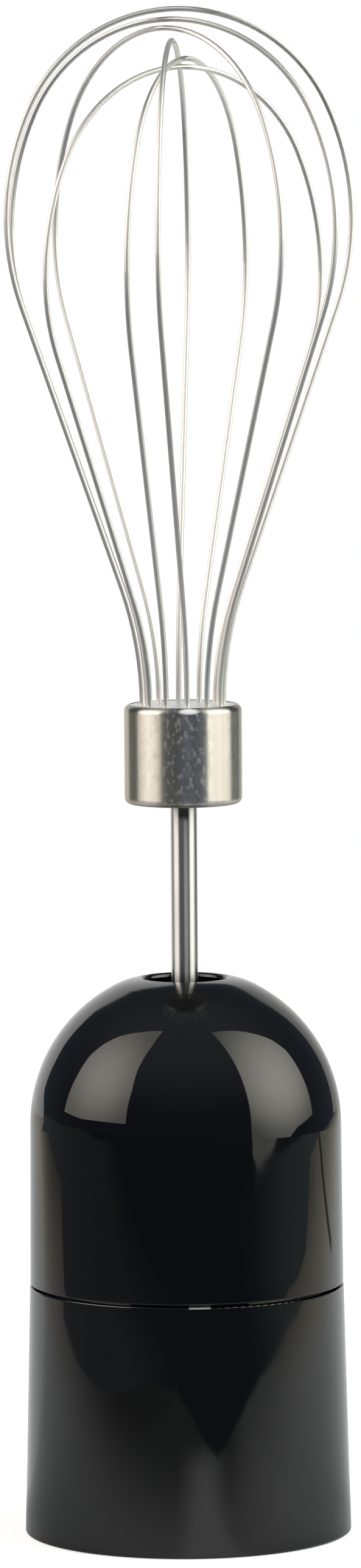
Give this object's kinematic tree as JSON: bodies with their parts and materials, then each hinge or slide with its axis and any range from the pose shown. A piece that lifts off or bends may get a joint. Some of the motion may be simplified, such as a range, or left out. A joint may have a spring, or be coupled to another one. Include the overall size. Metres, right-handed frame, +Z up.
{
  "type": "whisk attachment",
  "caption": "Balloon whisk of crossed steel wire loops on a domed reduction gearbox whose open foot plugs onto a hand blender's motor, for frothing milk and whipping.",
  "frame": {"origin": "centre of the flat foot rim, on the surface that the attachment stands on", "axes": "+Z up along the shaft from the foot to the whisk, -Y towards the picture's camera, +X to its right"},
  "size_m": [0.0524, 0.0508, 0.23],
  "materials": {
    "dome_plastic": "high gloss black",
    "skirt_plastic": "satin black",
    "seal_rubber": "matt black elastomer",
    "gear_plastic": "natural acetal",
    "inner_plastic": "moulded dark grey",
    "hub_plastic": "moulded dark grey, glass filled",
    "screw_steel": "zinc plated",
    "pin_steel": "ground steel",
    "clip_steel": "dark spring steel",
    "bush_bronze": "sintered bronze",
    "shaft_steel": "polished stainless steel",
    "collar_steel": "polished stainless steel with fine scuffs",
    "core_metal": "plain turned",
    "wire_steel": "polished stainless wire"
  },
  "bodies": {
    "housing": {"dome_housing": "dome_plastic", "skirt_housing": "skirt_plastic", "housing_gasket": "seal_rubber", "ring_gear": "gear_plastic", "gear_cover": "inner_plastic", "housing_screws": "screw_steel", "output_bush": "bush_bronze", "shaft_seal": "seal_rubber", "input_bush": "bush_bronze"},
    "output": {"planet_carrier": "hub_plastic", "planet_pins": "pin_steel", "thrust_washer": "pin_steel", "hub_clip": "clip_steel", "grip_ring": "seal_rubber"},
    "planet_1": {"planet_gear_1": "gear_plastic"},
    "planet_2": {"planet_gear_2": "gear_plastic"},
    "planet_3": {"planet_gear_3": "gear_plastic"},
    "input": {"input_shaft": "pin_steel", "sun_gear": "gear_plastic", "input_clip": "clip_steel", "drive_coupling": "hub_plastic"},
    "whisk": {"whisk_shaft": "shaft_steel", "whisk_collar": "collar_steel", "collar_core": "core_metal", "whisk_wire_1": "wire_steel", "whisk_wire_2": "wire_steel", "whisk_wire_3": "wire_steel", "whisk_wire_4": "wire_steel", "whisk_wire_5": "wire_steel", "whisk_wire_6": "wire_steel"}
  },
  "joints": [
    {"name": "output_spin", "type": "hinge", "parent": "housing", "child": "output", "pos_m": [0, 0, 0.06], "axis": [0, 0, 1], "continuous": true},
    {"name": "input_spin", "type": "hinge", "parent": "housing", "child": "input", "pos_m": [0, 0, 0.035], "axis": [0, 0, 1], "continuous": true},
    {"name": "planet_1_spin", "type": "hinge", "parent": "output", "child": "planet_1", "pos_m": [0.00925, 0, 0.0435], "axis": [0, 0, 1], "continuous": true},
    {"name": "planet_2_spin", "type": "hinge", "parent": "output", "child": "planet_2", "pos_m": [-0.00462, 0.00801, 0.0435], "axis": [0, 0, 1], "continuous": true},
    {"name": "planet_3_spin", "type": "hinge", "parent": "output", "child": "planet_3", "pos_m": [-0.00462, -0.00801, 0.0435], "axis": [0, 0, 1], "continuous": true},
    {"name": "whisk_pull", "type": "slide", "parent": "output", "child": "whisk", "axis": [0, 0, 1], "range_m": [0, 0.03]}
  ],
  "couplings": [
    {"joint": "input_spin", "follows": "output_spin", "ratio": 5},
    {"joint": "planet_1_spin", "follows": "output_spin", "ratio": -2.6667},
    {"joint": "planet_2_spin", "follows": "output_spin", "ratio": -2.6667},
    {"joint": "planet_3_spin", "follows": "output_spin", "ratio": -2.6667}
  ]
}
